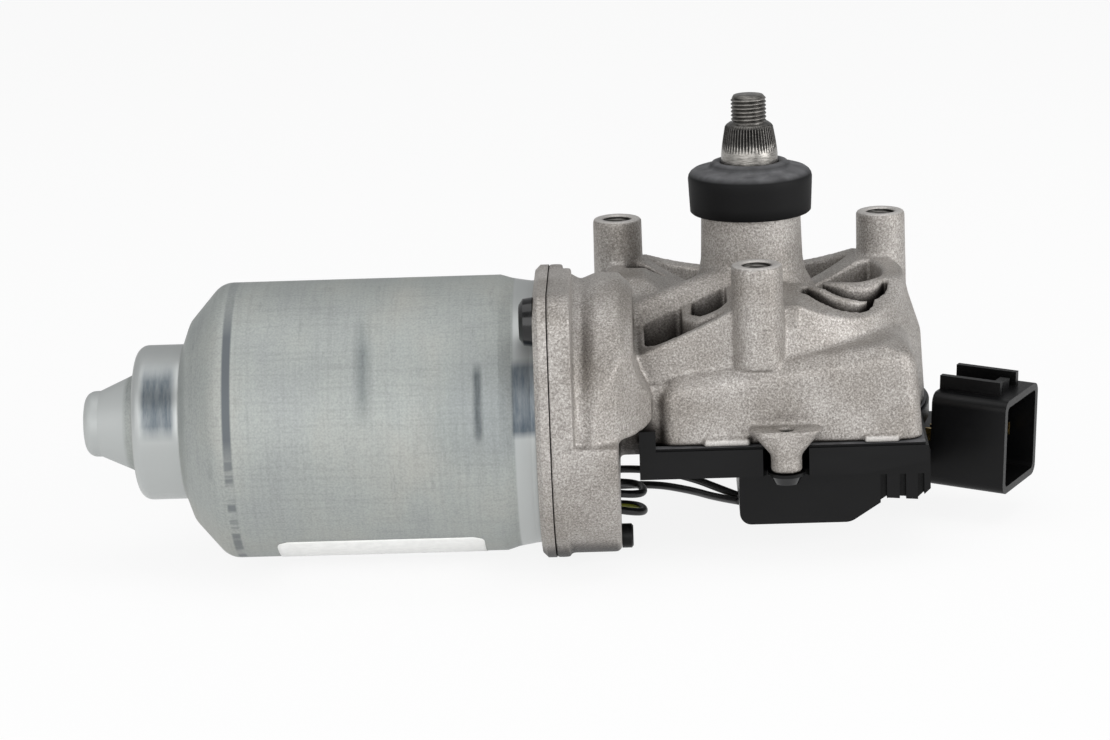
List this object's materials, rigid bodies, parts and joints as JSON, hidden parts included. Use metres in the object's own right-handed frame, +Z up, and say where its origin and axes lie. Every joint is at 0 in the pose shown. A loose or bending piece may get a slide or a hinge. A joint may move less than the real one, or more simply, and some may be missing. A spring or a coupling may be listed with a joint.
{
  "type": "wiper motor",
  "caption": "Permanent-magnet motor with a worm gear housing, three mounting posts, an upright splined output shaft and an angled plug socket.",
  "frame": {"origin": "on the output shaft's axis, in the plane of the three mounting post faces", "axes": "+Z up the output shaft, +X along the motor axis from the yoke's nose to the connector, +Y towards the back"},
  "size_m": [0.2131, 0.1085, 0.0966],
  "materials": {
    "zinc_steel": "satin grey zinc plate on drawn steel",
    "ferrite": "dull dark ferrite",
    "spring_steel": "bright spring steel",
    "black_screws": "glossy black coating",
    "sintered_bronze": "dull oil-soaked sintered bronze",
    "natural_plastic": "natural acetal",
    "ground_steel": "ground bright steel",
    "shaft_steel": "dark steel, bright where it is turned",
    "lamination_steel": "dull blued laminations",
    "copper": "bright copper",
    "black_plastic": "satin black glass-filled plastic",
    "brass": "plain brass strip",
    "carbon": "dull carbon",
    "cast_aluminium": "as-cast aluminium with a fine sandy grain",
    "cap_rubber": "matte black rubber",
    "lead_insulation": "black insulation, one lead with a thin yellow-green stripe"
  },
  "bodies": {
    "housing": {"yoke_case": "zinc_steel", "field_magnets": "ferrite", "magnet_clips": "spring_steel", "yoke_bolts": "black_screws", "rear_bush": "sintered_bronze", "rear_thrust_pad": "natural_plastic", "middle_bush": "sintered_bronze", "bush_retainer": "spring_steel", "front_bush": "sintered_bronze", "front_thrust_pad": "natural_plastic", "brush_holder_plate": "black_plastic", "brush_boxes": "brass", "carbon_brushes": "carbon", "brush_springs": "spring_steel", "choke_coils": "copper", "gear_housing": "cast_aluminium", "upper_bush": "sintered_bronze", "lower_bush": "sintered_bronze", "wheel_washer": "spring_steel", "tower_washer": "spring_steel", "shaft_cap": "cap_rubber", "cover_gasket": "cap_rubber", "gear_cover": "black_plastic", "cover_screws": "black_screws", "terminal_box": "black_plastic", "contact_fingers": "brass", "connector_housing": "black_plastic", "connector_blades": "brass", "lead_black": "lead_insulation", "lead_striped": "lead_insulation", "lead_grommet": "cap_rubber", "vent_plug": "black_plastic"},
    "armature": {"armature_shaft": "ground_steel", "armature_core": "lamination_steel", "armature_windings": "copper", "commutator": "copper", "commutator_core": "black_plastic"},
    "output": {"output_shaft": "shaft_steel", "worm_wheel": "natural_plastic", "wheel_hub": "ground_steel", "park_disc": "brass", "shaft_circlip": "spring_steel"}
  },
  "joints": [
    {"name": "armature_spin", "type": "hinge", "parent": "housing", "child": "armature", "pos_m": [0, -0.028, -0.0335], "axis": [1, 0, 0], "continuous": true},
    {"name": "output_spin", "type": "hinge", "parent": "housing", "child": "output", "pos_m": [0, 0, 0], "axis": [0, 0, 1], "continuous": true}
  ],
  "couplings": [
    {"joint": "output_spin", "follows": "armature_spin", "ratio": -0.021739}
  ]
}
